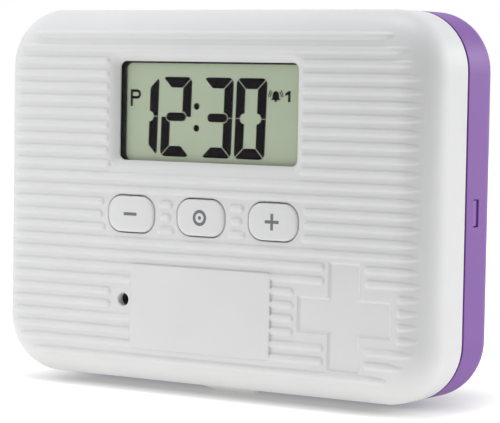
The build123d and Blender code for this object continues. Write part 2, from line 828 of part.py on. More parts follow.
# ---- pill tray -----------------------------------------------------------------
def tray_cells():
    """Centre and size of each compartment, from the tray's outline."""
    width = body_width - 2 * (tray_body_gap + tray_wall)
    height = body_height - 2 * (tray_body_gap + tray_wall)
    cell_width = (width - (tray_columns - 1) * tray_wall) / tray_columns
    cell_height = (height - (tray_rows - 1) * tray_wall) / tray_rows
    cells = []
    for column in range(tray_columns):
        for row in range(tray_rows):
            x = (column - (tray_columns - 1) / 2) * (cell_width + tray_wall)
            z = (row - (tray_rows - 1) / 2) * (cell_height + tray_wall)
            cells.append((x, z, cell_width, cell_height))
    return cells


def pill_tray():
    floor_back = body_depth - wall
    floor_front = floor_back - tray_floor
    tray = slab(outline(tray_body_gap), tray_top_depth, floor_back)
    flange_inset = wall + lip_clearance + lip_wall + tray_flange_gap
    tray += slab(outline(flange_inset), tray_top_depth, tray_top_depth + tray_flange)
    for x, z, width, height in tray_cells():
        cell = slab(Pos(x, z) * RectangleRounded(width, height, cell_corner),
                    tray_top_depth - overrun, floor_front)
        tray -= fillet(edges_at_depth(cell, floor_front), cell_corner)
    flange_back = tray_top_depth + tray_flange
    for side in (-1, 1):
        middle = side * ear_centre
        half = ear_width / 2 + ear_side_clearance + tray_notch_gap
        tray -= bar(middle - half, middle + half,
                    hinge_z - knuckle_radius - notch_floor - tray_notch_gap,
                    body_height / 2, tray_top_depth, flange_back)
    half = latch_width / 2 + latch_side_gap
    tray -= bar(-half, half, bottom, bottom + tray_body_gap, tray_top_depth, flange_back)
    half_height = snap_window_height / 2 - snap_tongue_gap
    half_length = snap_window_length / 2 - snap_tongue_gap
    for side in (-1, 1):
        near = side * (body_width / 2 - tray_body_gap - tray_wall / 2)
        far = side * (body_width / 2 - snap_tongue_inset)
        tray += bar(min(near, far), max(near, far), snap_window_z - half_height,
                    snap_window_z + half_height, snap_window_depth - half_length,
                    snap_window_depth + half_length)
    return tray


# ---- everything ----------------------------------------------------------------
parts = {
    "back_shell": back_shell(),
    "pill_tray": pill_tray(),
    "hinge_pin": hinge_pin(),
    "front_cover": front_cover(),
    "display_window": display_window(),
    "display_gasket": display_gasket(),
    "lcd_panel": lcd_panel(),
    "lcd_reflector": lcd_reflector(),
    "lcd_frame": lcd_frame(),
    "zebra_connectors": zebra_connectors(),
    "keypad_mat": keypad_mat(),
    "circuit_board": circuit_board(),
    "timer_chip": timer_chip(),
    "quartz_crystal": quartz_crystal(),
    "board_screws": board_screws(),
    "alarm_buzzer": alarm_buzzer(),
    "buzzer_leads": buzzer_leads(),
    "coin_cell": coin_cell(),
    "battery_holder": battery_holder(),
    "holder_screws": holder_screws(),
    "battery_contact_negative": battery_contact_negative(),
    "battery_contact_positive": battery_contact_positive(),
    "inner_cover": inner_cover(),
    "cover_screws": cover_screws(),
    "battery_door": battery_door(),
}
for column, name in enumerate(button_names):
    parts[name] = push_button(column - 1)

os.makedirs("parts", exist_ok=True)
for name, shape in parts.items():
    if isinstance(shape, list):
        shape = Compound(children=shape)
    export_step(shape, os.path.join("parts", name + ".step"))
    print(name, len(shape.solids()), round(shape.volume, 1))
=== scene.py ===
# %% [markdown]
# # A pocket pill box with a timer in its lid
# The real object is a flat box of two moulded halves. A white lid with a ribbed
# face carries a clock display, round-cornered push buttons and a sound hole. It is
# hinged at the top on a purple back half that holds a tray for tablets.
# The construction comes in as a fixed frame of exact nodes. This file gives every
# node its finish, adds what is printed, displayed or softly rounded, and sets up
# light and camera.

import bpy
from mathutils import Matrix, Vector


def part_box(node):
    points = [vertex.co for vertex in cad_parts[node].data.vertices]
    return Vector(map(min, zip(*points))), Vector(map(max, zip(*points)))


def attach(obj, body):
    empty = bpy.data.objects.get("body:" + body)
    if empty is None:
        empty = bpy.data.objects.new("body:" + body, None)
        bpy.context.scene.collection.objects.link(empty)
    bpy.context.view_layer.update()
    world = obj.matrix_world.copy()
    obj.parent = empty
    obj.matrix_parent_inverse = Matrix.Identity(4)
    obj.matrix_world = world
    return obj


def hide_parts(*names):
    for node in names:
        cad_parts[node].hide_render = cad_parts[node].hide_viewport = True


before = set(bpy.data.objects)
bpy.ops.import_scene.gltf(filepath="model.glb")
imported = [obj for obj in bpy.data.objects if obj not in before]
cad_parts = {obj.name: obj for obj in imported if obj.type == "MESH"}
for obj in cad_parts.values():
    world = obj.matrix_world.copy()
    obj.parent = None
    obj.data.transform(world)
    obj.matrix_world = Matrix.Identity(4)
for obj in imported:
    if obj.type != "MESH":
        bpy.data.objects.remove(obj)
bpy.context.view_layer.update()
print("nodes in the frame:", len(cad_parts))

# %% [markdown]
# ## Measures
# Blender works in metres, and a small product is easier to think about in
# millimetres, so lengths below are written in millimetres and multiplied by `MM`.
# Places could be typed in as numbers, but they would be wrong as soon as the
# construction changed.

# %% Places read from the frame
import math

import bmesh
import bpy
from mathutils import Matrix, Vector

MM = 0.001
FACE_DEPTH = 0.45               # the flat face lies this far behind the crests of the ribs

shell_low, shell_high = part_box("back_shell")
face_middle_z = (shell_low.z + shell_high.z) / 2
rib_crest_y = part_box("front_cover")[0].y
face_y = rib_crest_y + FACE_DEPTH * MM
panel_front_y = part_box("lcd_panel")[0].y
print("middle of the face:", round(face_middle_z / MM, 2), "mm above the floor")
print("display panel:", round((panel_front_y - face_y) / MM, 2), "mm behind the face")

# %% [markdown]
# ## The camera
# A product shot is taken from far away with a long lens, so that the box keeps its
# proportions. The camera stands to the right of the box and looks back at it, a
# little downwards, with a slight roll. A constraint could aim it at the box, but it
# would leave no roll. Here the three angles and the place define the camera, and
# the matrix turns them into Blender's camera axes: right, up, backwards.

# %% Camera
CAMERA_PLACE = Vector((271.8, -409.2, 66.9)) * MM
CAMERA_TURN = math.radians(33.27)
CAMERA_TILT = math.radians(3.26)
CAMERA_ROLL = math.radians(1.02)
CAMERA_LENS = 165.17                # focal length in millimetres
NEAREST_SEEN = 10 * MM


def make_camera():
    forward = Vector((-math.sin(CAMERA_TURN) * math.cos(CAMERA_TILT),
                      math.cos(CAMERA_TURN) * math.cos(CAMERA_TILT),
                      -math.sin(CAMERA_TILT)))
    level_right = forward.cross(Vector((0, 0, 1))).normalized()
    level_up = level_right.cross(forward)
    right = level_right * math.cos(CAMERA_ROLL) + level_up * math.sin(CAMERA_ROLL)
    up = level_up * math.cos(CAMERA_ROLL) - level_right * math.sin(CAMERA_ROLL)
    camera = bpy.data.objects.new("camera", bpy.data.cameras.new("camera"))
    camera.data.lens = CAMERA_LENS
    camera.data.clip_start = NEAREST_SEEN
    camera.matrix_world = Matrix((
        (right.x, up.x, -forward.x, CAMERA_PLACE.x),
        (right.y, up.y, -forward.y, CAMERA_PLACE.y),
        (right.z, up.z, -forward.z, CAMERA_PLACE.z),
        (0, 0, 0, 1)))
    bpy.context.scene.collection.objects.link(camera)
    return camera


bpy.context.scene.camera = make_camera()
print("camera distance:", round(CAMERA_PLACE.length, 3), "m")

# %% [markdown]
# ## Materials and their nodes
# Every finish below is a Principled shader with a few procedural nodes in front of
# it. Image textures could do the same, but procedural ones need no unwrapping and
# show no seams. Three helpers keep this short: one makes a material and sets what
# is constant on the shader's own sockets, one adds a node, and one links two nodes.

# %% Material, node and link
def new_material(name, **sockets):
    material = bpy.data.materials.new(name)
    material.use_nodes = True
    shader = material.node_tree.nodes["Principled BSDF"]
    for socket, value in sockets.items():
        shader.inputs[socket.replace("_", " ")].default_value = value
    return material, shader


def add_node(material, kind, **values):
    """Each value goes to the node's setting of that name, or else to its socket."""
    node = material.node_tree.nodes.new(kind)
    for name, value in values.items():
        if hasattr(node, name):
            setattr(node, name, value)
        else:
            node.inputs[name.replace("_", " ")].default_value = value
    return node


def link(material, source, output, target, socket):
    material.node_tree.links.new(source.outputs[output], target.inputs[socket])


print("made for Blender 4.5, running in", bpy.app.version_string)

# %% [markdown]
# ## Tone and grain
# Plastic looks false when its colour and gloss are perfectly even. Noise in blotches
# of a real size mixes two close tones for the colour. A spark-eroded mould also
# leaves a fine grain, which drives a bump and a small change of roughness. No
# moulded edge is knife-sharp either. Bevelled meshes would change the exact nodes,
# so a bevel node only bends the shading near each edge, and the edge catches a line
# of light.

# %% Noise and what it drives
MIX_FACTOR, MIX_DARK, MIX_LIGHT, MIX_RESULT = 0, 6, 7, 2    # colour sockets of a Mix node
BEVEL_SAMPLES = 8


def add_noise(material, size, detail=3.0):
    """Noise in blotches of about this size, in millimetres."""
    place = add_node(material, "ShaderNodeTexCoord")
    noise = add_node(material, "ShaderNodeTexNoise", Scale=1 / (size * MM), Detail=detail)
    link(material, place, "Object", noise, "Vector")
    return noise


def add_tones(material, shader, noise, dark, light):
    tones = add_node(material, "ShaderNodeMix", data_type="RGBA")
    tones.inputs[MIX_DARK].default_value = (*dark, 1)
    tones.inputs[MIX_LIGHT].default_value = (*light, 1)
    link(material, noise, "Fac", tones, MIX_FACTOR)
    link(material, tones, MIX_RESULT, shader, "Base Color")
    return tones


def add_roughness(material, shader, noise, low, high):
    spread = add_node(material, "ShaderNodeMapRange", To_Min=low, To_Max=high)
    link(material, noise, "Fac", spread, "Value")
    link(material, spread, "Result", shader, "Roughness")


def add_grain(material, shader, size, height, roughness, edge=0):
    """Size and height of the grain and width of a softened edge, in millimetres."""
    grain = add_noise(material, size)
    bump = add_node(material, "ShaderNodeBump", Strength=1.0, Distance=height * MM)
    link(material, grain, "Fac", bump, "Height")
    if edge:
        softened = add_node(material, "ShaderNodeBevel", samples=BEVEL_SAMPLES,
                            Radius=edge * MM)
        link(material, softened, "Normal", bump, "Normal")
    link(material, bump, "Normal", shader, "Normal")
    add_roughness(material, shader, grain, *roughness)


print("tone and grain helpers ready")

# %% [markdown]
# ## Moulded plastics
# The two halves are injection-moulded ABS. Its colour runs through the material, so
# it is nearly even. One flat colour would look painted, so a slow cloud of two close
# tones stands for the flow of the melt. The lid's outside is satin white, the parts
# inside the lid are a touch greyer, and the back half and tray are a dusty purple.
# Pieces that are laid on the lid get its white without softened edges, because
# their own rims should not show.

# %% Plastics
FLOW_SIZE = 14.0
LID_TONES = ((0.74, 0.74, 0.74), (0.79, 0.79, 0.79))


def moulded_plastic(name, dark, light, grain_size=0.22, grain_height=0.006,
                    roughness=(0.40, 0.52), edge=0.25):
    material, shader = new_material(name)
    flow = add_noise(material, FLOW_SIZE, detail=2.0)
    add_tones(material, shader, flow, dark, light)
    add_grain(material, shader, grain_size, grain_height, roughness, edge)
    return material


WHITE = moulded_plastic("white_shell", *LID_TONES, edge=0.6)
WHITE_INSET = moulded_plastic("white_inset", *LID_TONES, edge=0)
WHITE_BUTTON = moulded_plastic("white_button", (0.75, 0.75, 0.75), (0.80, 0.80, 0.80),
                               grain_size=0.15, grain_height=0.003)
WHITE_INNER = moulded_plastic("white_inner", (0.66, 0.66, 0.65), (0.72, 0.72, 0.71),
                              grain_size=0.3, grain_height=0.008)
PURPLE = moulded_plastic("purple_shell", (0.182, 0.053, 0.322), (0.205, 0.065, 0.355),
                         roughness=(0.44, 0.53))
PURPLE_TRAY = moulded_plastic("purple_tray", (0.250, 0.100, 0.420), (0.280, 0.120, 0.460),
                              roughness=(0.40, 0.50))
BLACK_PLASTIC = moulded_plastic("black_plastic", (0.012, 0.012, 0.013), (0.02, 0.02, 0.021))
print("nodes in the white of the lid:", len(WHITE.node_tree.nodes))

# %% [markdown]
# ## Rubber and circuit board
# These sit inside the lid. They still get a finish of their own, because the model
# is also used opened up. Rubber is matt with a coarse grain. The board is glossy
# lacquer over copper tracks. Tracks could be modelled one by one, but they hide
# behind the cover, so a brick pattern of shallow relief stands for them.

# %% Rubber and lacquered board
TRACK_PITCH = 2.6
TRACK_RELIEF = 0.03
LACQUER = ((0.010, 0.110, 0.035, 1), (0.012, 0.125, 0.040, 1))
TRACK_COLOUR = (0.035, 0.190, 0.070, 1)


def rubber(name, dark, light):
    material, shader = new_material(name)
    add_tones(material, shader, add_noise(material, size=3.0), dark, light)
    add_grain(material, shader, size=0.35, height=0.012, roughness=(0.66, 0.85))
    return material


def lacquered_board(name):
    material, shader = new_material(name, Roughness=0.28)
    place = add_node(material, "ShaderNodeTexCoord")
    turned = add_node(material, "ShaderNodeMapping", Rotation=(math.radians(90), 0, 0))
    tracks = add_node(material, "ShaderNodeTexBrick", Scale=1 / (TRACK_PITCH * MM),
                      Color1=LACQUER[0], Color2=LACQUER[1], Mortar=TRACK_COLOUR,
                      Mortar_Size=0.08)
    link(material, place, "Object", turned, "Vector")
    link(material, turned, "Vector", tracks, "Vector")
    link(material, tracks, "Color", shader, "Base Color")
    bump = add_node(material, "ShaderNodeBump", Strength=0.6, Distance=TRACK_RELIEF * MM)
    link(material, tracks, "Fac", bump, "Height")
    link(material, bump, "Normal", shader, "Normal")
    return material


BLACK_RUBBER = rubber("black_gasket", (0.010, 0.010, 0.011), (0.022, 0.022, 0.024))
CLEAR_RUBBER = rubber("silicone", (0.50, 0.52, 0.51), (0.60, 0.62, 0.61))
BOARD = lacquered_board("board")
print("nodes in the lacquer:", len(BOARD.node_tree.nodes))

# %% [markdown]
# ## Metals
# Pins, screws, contacts and the cell differ in colour and in the way they were drawn
# or rolled. Scratches could be cut as lines, but worn metal shows them as a haze.
# So noise is drawn out along one axis, and drives both the tone and the roughness.
# Foil has no such direction, so its noise keeps the same size all ways.

# %% Metals
SCRATCH_SIZE = 0.25


def worn_metal(name, dark, light, roughness, stretch):
    """Scratches run along the axis whose stretch is small."""
    material, shader = new_material(name, Metallic=1.0)
    place = add_node(material, "ShaderNodeTexCoord")
    drawn = add_node(material, "ShaderNodeMapping", Scale=stretch)
    scratches = add_node(material, "ShaderNodeTexNoise", Scale=1 / (SCRATCH_SIZE * MM),
                         Detail=5.0)
    link(material, place, "Object", drawn, "Vector")
    link(material, drawn, "Vector", scratches, "Vector")
    add_tones(material, shader, scratches, dark, light)
    add_roughness(material, shader, scratches, *roughness)
    return material


STEEL = worn_metal("steel", (0.50, 0.51, 0.53), (0.63, 0.64, 0.66), (0.22, 0.42), (0.1, 1, 1))
CELL_STEEL = worn_metal("cell_steel", (0.58, 0.59, 0.60), (0.70, 0.70, 0.71), (0.16, 0.30),
                        (1, 1, 0.2))
NICKEL = worn_metal("contact_metal", (0.56, 0.54, 0.49), (0.68, 0.66, 0.61), (0.2, 0.36),
                    (1, 1, 0.2))
BRASS = worn_metal("brass", (0.58, 0.42, 0.17), (0.70, 0.53, 0.24), (0.2, 0.38), (1, 0.2, 1))
FOIL = worn_metal("foil", (0.55, 0.56, 0.55), (0.66, 0.67, 0.66), (0.35, 0.5), (1, 1, 1))
print("nodes in the steel:", len(STEEL.node_tree.nodes))

# %% [markdown]
# ## The display
# A reflective liquid-crystal panel looks grey-green and matt, like fine paper under
# a film, because its rear foil is brushed. The lens in front of it is a thin clear
# sheet. A real glass shader would darken what is behind it, since shadow rays stop
# there, so the lens is mostly transparent by its alpha and keeps only its gloss.

# %% Display materials
def display_panel(name):
    material, shader = new_material(name)
    speckle = add_noise(material, size=0.5, detail=4.0)
    add_tones(material, shader, speckle, (0.430, 0.498, 0.362), (0.474, 0.546, 0.398))
    add_grain(material, shader, size=0.2, height=0.002, roughness=(0.32, 0.42))
    return material


def clear_lens(name):
    material, shader = new_material(name, Alpha=0.06, Transmission_Weight=1.0, IOR=1.49,
                                    Specular_IOR_Level=0.12)
    haze = add_noise(material, size=6.0)
    add_tones(material, shader, haze, (0.93, 0.95, 0.94), (0.98, 0.99, 0.98))
    add_roughness(material, shader, haze, low=0.02, high=0.04)
    return material


def dark_segments(name):
    material, shader = new_material(name, Roughness=0.6, Specular_IOR_Level=0.0)
    mottle = add_noise(material, size=1.2)
    add_tones(material, shader, mottle, (0.007, 0.006, 0.007), (0.015, 0.012, 0.015))
    return material


PANEL = display_panel("lcd_glass")
LENS = clear_lens("clear_window")
SEGMENTS = dark_segments("lcd_segments")
print("nodes in the display panel:", len(PANEL.node_tree.nodes))

# %% [markdown]
# ## Dressing the nodes
# Each node keeps its exact shape and only gets its material. Its faces are small
# flat ones, so ribs and corner radii would look like cut stone. More faces would
# make the file heavy. Instead, faces that meet at less than about thirty degrees
# are shaded smooth, and sharper edges stay sharp.

# %% Give every node its finish
FINISHES = {
    "front_cover": WHITE,
    "hour_button": WHITE_BUTTON, "mode_button": WHITE_BUTTON, "minute_button": WHITE_BUTTON,
    "inner_cover": WHITE_INNER, "battery_door": WHITE_INNER,
    "back_shell": PURPLE, "pill_tray": PURPLE_TRAY,
    "display_window": LENS, "display_gasket": BLACK_RUBBER, "lcd_panel": PANEL,
    "lcd_reflector": FOIL, "lcd_frame": BLACK_PLASTIC, "zebra_connectors": BLACK_RUBBER,
    "keypad_mat": CLEAR_RUBBER, "circuit_board": BOARD, "timer_chip": BLACK_PLASTIC,
    "quartz_crystal": STEEL, "board_screws": STEEL, "holder_screws": STEEL,
    "cover_screws": STEEL, "hinge_pin": STEEL, "alarm_buzzer": BLACK_PLASTIC,
    "buzzer_leads": BRASS, "coin_cell": CELL_STEEL, "battery_holder": BLACK_PLASTIC,
    "battery_contact_negative": NICKEL, "battery_contact_positive": NICKEL,
}
SHARP_ANGLE = math.radians(32)


def shade_round(data):
    data.shade_smooth()
    data.set_sharp_from_angle(angle=SHARP_ANGLE)


def dress(node, material):
    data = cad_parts[node].data
    data.materials.clear()
    data.materials.append(material)
    shade_round(data)


for node, material in FINISHES.items():
    dress(node, material)
print("dressed", len(FINISHES), "of", len(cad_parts), "nodes")

# %% [markdown]
# ## Outlines
# Segments, signs, button marks and the rims of caps are all drawn as closed
# outlines: lists of (x, z) points in millimetres. A curve object could hold them,
# but plain points are easier to mirror, lean and join. Straight stretches need only
# their ends, and round ones come from one arc function.

# %% Arc, circle, box and rounded box
CORNER_STEPS = 8


def arc(cx, cz, radius, start, end, steps=8):
    """Points of an arc between two angles, in degrees."""
    angles = [math.radians(start + (end - start) * i / steps) for i in range(steps + 1)]
    return [(cx + radius * math.cos(a), cz + radius * math.sin(a)) for a in angles]


def circle(x, z, radius, steps=24):
    return arc(x, z, radius, 0, 360 - 360 / steps, steps - 1)


def box_outline(x0, x1, z0, z1):
    return [(x0, z0), (x1, z0), (x1, z1), (x0, z1)]


def rounded_loop(x0, x1, z0, z1, radius):
    """A rounded box, always of as many points, so that two of them can be joined."""
    corners = ((x1 - radius, z1 - radius, 0), (x0 + radius, z1 - radius, 90),
               (x0 + radius, z0 + radius, 180), (x1 - radius, z0 + radius, 270))
    loop = []
    for x, z, start in corners:
        loop += arc(x, z, radius, start, start + 90, CORNER_STEPS)
    return loop


def centred_loop(half_width, half_height, radius):
    return rounded_loop(-half_width, half_width, -half_height, half_height, radius)


print("points of a rounded box:", len(centred_loop(2, 1, 0.5)))

# %% [markdown]
# ## Two ways from outlines to a piece
# What is printed or displayed is a hair thick: each outline becomes a face, and the
# face is pushed forwards. What has a rounded section, such as a cap or a frame, is
# a skin over rings: outlines of one kind at several sizes and depths, with a band
# of faces between one ring and the next. A modifier could bevel a block to much the
# same form, but rings say exactly how wide and deep each step is.

# %% Thin pieces
def new_piece(name, mesh, material):
    data = bpy.data.meshes.new(name)
    mesh.to_mesh(data)
    mesh.free()
    data.materials.append(material)
    piece = bpy.data.objects.new(name, data)
    bpy.context.scene.collection.objects.link(piece)
    return piece


def thin_piece(name, outlines, centre, thickness, material, body):
    """The centre, in metres, is on the surface that carries the outlines."""
    mesh = bmesh.new()
    for outline in outlines:
        corners = [mesh.verts.new((centre.x + x * MM, centre.y, centre.z + z * MM))
                   for x, z in outline]
        mesh.faces.new(corners)
    mesh.normal_update()
    for face in mesh.faces:
        if face.normal.y > 0:
            face.normal_flip()
    fronts = bmesh.ops.extrude_face_region(mesh, geom=list(mesh.faces))["geom"]
    moved = [item for item in fronts if isinstance(item, bmesh.types.BMVert)]
    bmesh.ops.translate(mesh, verts=moved, vec=(0, -thickness * MM, 0))
    bmesh.ops.recalc_face_normals(mesh, faces=list(mesh.faces))
    piece = new_piece(name, mesh, material)
    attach(piece, body)
    return piece


print("thin pieces ready")


# %% Skins over rings
def skin(name, section, centre, material, closed):
    """The section holds rings of (outline, y). Its ends meet, or each gets a face."""
    mesh = bmesh.new()
    rings = [[mesh.verts.new(centre + Vector((x, y, z)) * MM) for x, z in loop]
             for loop, y in section]
    count = len(rings[0])
    pairs = list(zip(rings, rings[1:]))
    if closed:
        pairs.append((rings[-1], rings[0]))
    else:
        mesh.faces.new(rings[0])
        mesh.faces.new(rings[-1])
    for near, far in pairs:
        for i in range(count):
            j = (i + 1) % count
            mesh.faces.new((near[i], near[j], far[j], far[i]))
    bmesh.ops.recalc_face_normals(mesh, faces=list(mesh.faces))
    piece = new_piece(name, mesh, material)
    shade_round(piece.data)
    return piece


print("skins ready")

# %% [markdown]
# ## The frame of black foam round the display
# Between the lens and the panel lies a die-cut frame of black foam. Its opening has
# round corners and sits a little to the right of the window and below its top edge,
# so a dark band shows at the left and a thin one at the top. The node is a plain
# flat frame whose opening sits a little lower. This piece takes its place, its
# outline and its thickness. A flat cut-out would have a knife edge, so it is a skin
# over rings, which gives it the pinched inner edge of cut foam.

# %% Foam frame
WINDOW_SIZE = (45.2, 21.2)      # opening in the lid
WINDOW_RISE = 18.3              # middle of the window above the middle of the face
FOAM_SHIFT = 0.75               # opening to the right of the window
FOAM_TOP_BAND = 0.36
FOAM_BOTTOM_DROP = 0.05         # hidden under the rim of the window
FOAM_CORNER = 1.5
FOAM_PINCH = 0.09
PINCH_ENDS = (0.3, 0.7)         # shares of the thickness between which the edge is full


def foam_frame():
    low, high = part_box("display_gasket")
    centre = Vector((0, low.y, face_middle_z + WINDOW_RISE * MM))
    outer = rounded_loop(low.x / MM, high.x / MM, (low.z - centre.z) / MM,
                         (high.z - centre.z) / MM, FOAM_CORNER)
    half_width, half_height = WINDOW_SIZE[0] / 2, WINDOW_SIZE[1] / 2
    x0, x1 = FOAM_SHIFT - half_width, FOAM_SHIFT + half_width
    z0, z1 = -half_height - FOAM_BOTTOM_DROP, half_height - FOAM_TOP_BAND
    edge = rounded_loop(x0, x1, z0, z1, FOAM_CORNER)
    pinched = rounded_loop(x0 - FOAM_PINCH, x1 + FOAM_PINCH, z0 - FOAM_PINCH,
                           z1 + FOAM_PINCH, FOAM_CORNER + FOAM_PINCH)
    back = (high.y - low.y) / MM
    section = ((outer, 0), (pinched, 0), (edge, PINCH_ENDS[0] * back),
               (edge, PINCH_ENDS[1] * back), (pinched, back), (outer, back))
    piece = skin("foam_frame", section, centre, BLACK_RUBBER, closed=True)
    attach(piece, "lid")
    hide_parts("display_gasket")
    return piece


print("foam frame has", len(foam_frame().data.polygons), "faces")

# %% [markdown]
# ## The floor of the cross
# The cross is sunk into the face with walls that lean outwards, because a moulded
# lid has to slide off its tool. The node has the outline, with upright walls.
# Bevelling them would change its exact mesh, so this piece lies in it like a shallow
# dish of the same plastic: a flat floor and a gentle slope up to the outline, where
# one side catches the light and the other loses it. A narrow band of floor at the
# foot of the slope keeps the shading flat beyond it.

# %% Cross floor
CROSS_PLACE = (35.3, -22.1)     # from the middle of the face
CROSS_SPAN = 21.9
CROSS_ARM = 7.3
CROSS_DEPTH = 0.44              # back of the piece, just in front of the node's own floor
SLOPE_WIDTH = 0.45
DISH_DEPTH = 0.3
FLOOR_BAND = 0.2
BACK_INSET = 0.05               # keeps the back clear of the node's walls


def cross_loop(inset):
    """Each quarter turn adds the end of one arm and the corner after it."""
    span, arm = CROSS_SPAN / 2 - inset, CROSS_ARM / 2 - inset
    across, along = Vector((1, 0)), Vector((0, 1))
    loop = []
    for quarter in range(4):
        for x, z in ((span, -arm), (span, arm), (arm, arm)):
            loop.append(tuple(across * x + along * z))
        across, along = along, -across
    return loop


def cross_floor():
    x, z = CROSS_PLACE
    centre = Vector((x * MM, face_y, face_middle_z + z * MM))
    section = ((cross_loop(SLOPE_WIDTH + FLOOR_BAND), DISH_DEPTH),
               (cross_loop(SLOPE_WIDTH), DISH_DEPTH),
               (cross_loop(0), 0),
               (cross_loop(BACK_INSET), CROSS_DEPTH))
    piece = skin("cross_floor", section, centre, WHITE_INSET, closed=False)
    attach(piece, "lid")
    return piece


print("cross floor has", len(cross_floor().data.polygons), "faces")

# %% [markdown]
# ## The rolled bezel of the window
# The face rolls over into the window: gently at first and steeper towards the lens.
# The node has one straight slope there, which shows a crease at its start. This
# piece lies on that slope, with the same outer and inner outline. Its rings could
# follow an arc, but a parabola is simpler: it takes the slope at the start and the
# depth at the end.

# %% Window bezel
BEZEL_WIDTH = 1.75
BEZEL_DEPTH = 1.55
BEZEL_CORNERS = (3.0, 1.4)      # outer and inner
BEZEL_START = 0.64              # depth that it would gain if it went on as it starts
BEZEL_STEPS = 8
BEZEL_BACK = 0.03               # behind the node's slope, so that no gap shows


def bezel_ring(share):
    """Loop and depth at a share of the way from the face to the lens."""
    grow = BEZEL_WIDTH * (1 - share)
    outer, inner = BEZEL_CORNERS
    loop = centred_loop(WINDOW_SIZE[0] / 2 + grow, WINDOW_SIZE[1] / 2 + grow,
                        outer + (inner - outer) * share)
    return loop, BEZEL_START * share + (BEZEL_DEPTH - BEZEL_START) * share ** 2


def window_bezel():
    centre = Vector((0, face_y, face_middle_z + WINDOW_RISE * MM))
    section = [bezel_ring(i / BEZEL_STEPS) for i in range(BEZEL_STEPS + 1)]
    outer_loop, outer_depth = section[0]
    inner_loop, inner_depth = section[-1]
    section += [(inner_loop, inner_depth + BEZEL_BACK), (outer_loop, outer_depth + BEZEL_BACK)]
    piece = skin("window_bezel", section, centre, WHITE_INSET, closed=True)
    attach(piece, "lid")
    return piece


print("window bezel has", len(window_bezel().data.polygons), "faces")

# %% [markdown]
# ## Clock digits
# A seven-segment digit is a rounded frame cut at its corners by narrow mitres, with
# a rounded bar across the middle. A font could give figures, but not these gaps.
# All four upright segments are one outline mirrored, and so are the top and bottom
# ones, so a digit of any size needs only two outlines and the bar. The display
# leans a very little to the right.

# %% Measures of a digit
DIGIT_WIDTH = 7.6
DIGIT_HEIGHT = 16.9
STROKE = 2.25
MITRE_GAP = 0.13
DIGIT_CORNER = 1.1
BAR_LENGTH = 5.0
BAR_HEIGHT = 1.8
NOTCH_CLEARANCE = 0.14     # round the end of the bar
LEAN = 0.03                # sideways for each millimetre up
LIT_SEGMENTS = {0: "abcdef", 1: "bc", 2: "abged", 3: "abgcd"}
print("segments in a full digit:", len(LIT_SEGMENTS[0]) + 1)


# %% Outlines of the segments
def upper_left_segment():
    """The upright at the upper left, measured from the middle of the digit."""
    left = -DIGIT_WIDTH / 2
    top = DIGIT_HEIGHT / 2
    inner = left + STROKE
    notch_radius = BAR_HEIGHT / 2 + NOTCH_CLEARANCE
    notch_x = -BAR_LENGTH / 2 + BAR_HEIGHT / 2
    rise = math.sqrt(notch_radius ** 2 - (inner - notch_x) ** 2)
    meet = math.degrees(math.atan2(rise, inner - notch_x))
    notch = arc(notch_x, MITRE_GAP / 2, notch_radius, 180, meet, steps=6)
    corner = arc(left + DIGIT_CORNER, top - DIGIT_CORNER - MITRE_GAP, DIGIT_CORNER, 135, 180,
                 steps=4)
    return [(left, MITRE_GAP / 2)] + notch + [(inner, top - STROKE - MITRE_GAP)] + corner


def top_segment():
    """The bar at the top, measured from the middle of the digit."""
    right = DIGIT_WIDTH / 2
    top = DIGIT_HEIGHT / 2
    corner_x = right - DIGIT_CORNER - MITRE_GAP
    corner = arc(corner_x, top - DIGIT_CORNER, DIGIT_CORNER, 45, 90, steps=4)
    mirrored = [(-x, z) for x, z in reversed(corner)]
    inner_x = right - STROKE - MITRE_GAP
    return [(inner_x, top - STROKE)] + corner + mirrored + [(-inner_x, top - STROKE)]


def middle_bar():
    radius = BAR_HEIGHT / 2
    x = BAR_LENGTH / 2 - radius
    return arc(x, 0, radius, -90, 90) + arc(-x, 0, radius, 90, 270)


print("points of an upright segment:", len(upper_left_segment()))


# %% Segments put together
def mirror(outline, across_x, across_z):
    return [(x * across_x, z * across_z) for x, z in outline]


def segment_outline(letter):
    """Segments are lettered a to f clockwise from the top, and g is the bar."""
    if letter == "g":
        return middle_bar()
    if letter in "ad":
        return mirror(top_segment(), 1, 1 if letter == "a" else -1)
    across_x = 1 if letter in "fe" else -1
    across_z = 1 if letter in "fb" else -1
    return mirror(upper_left_segment(), across_x, across_z)


def digit_outlines(number, x):
    outlines = [segment_outline(letter) for letter in LIT_SEGMENTS[number]]
    return [[(px + x + pz * LEAN, pz) for px, pz in outline] for outline in outlines]


print("outlines of a three:", len(digit_outlines(3, 0)))

# %% [markdown]
# ## The time on the display
# The panel shows a plain time, four digits with a colon of two dots. It could be
# painted on the panel by its material, but outlines stay sharp at any size and keep
# their place from every angle. They lie on the front of the panel, a hair thick.

# %% Time
DISPLAY_RISE = 17.2        # zero of the display's own places, above the middle of the face
DISPLAY_CENTRE = Vector((0, panel_front_y, face_middle_z + DISPLAY_RISE * MM))
FILM_THICKNESS = 0.04
DIGIT_PLACES = ((1, -17.4), (2, -8.9), (3, 1.65), (0, 10.0))
COLON_X = -3.65
COLON_HEIGHTS = (2.32, -2.30)
COLON_RADIUS = 0.72


def clock_outlines():
    outlines = []
    for number, x in DIGIT_PLACES:
        outlines += digit_outlines(number, x)
    for z in COLON_HEIGHTS:
        outlines.append(circle(COLON_X, z, COLON_RADIUS))
    return outlines


thin_piece("lcd_digits", clock_outlines(), DISPLAY_CENTRE, FILM_THICKNESS, SEGMENTS, "lid")
print("lit segments:", sum(len(LIT_SEGMENTS[number]) for number, x in DIGIT_PLACES))

# %% [markdown]
# ## Small signs on the display
# A capital for the afternoon stands at the left of the time, and a ringing bell with
# the number of the alarm at its right. They are fixed signs of the panel's own
# plain drawing, so each is built from a few measures and not set in a font.

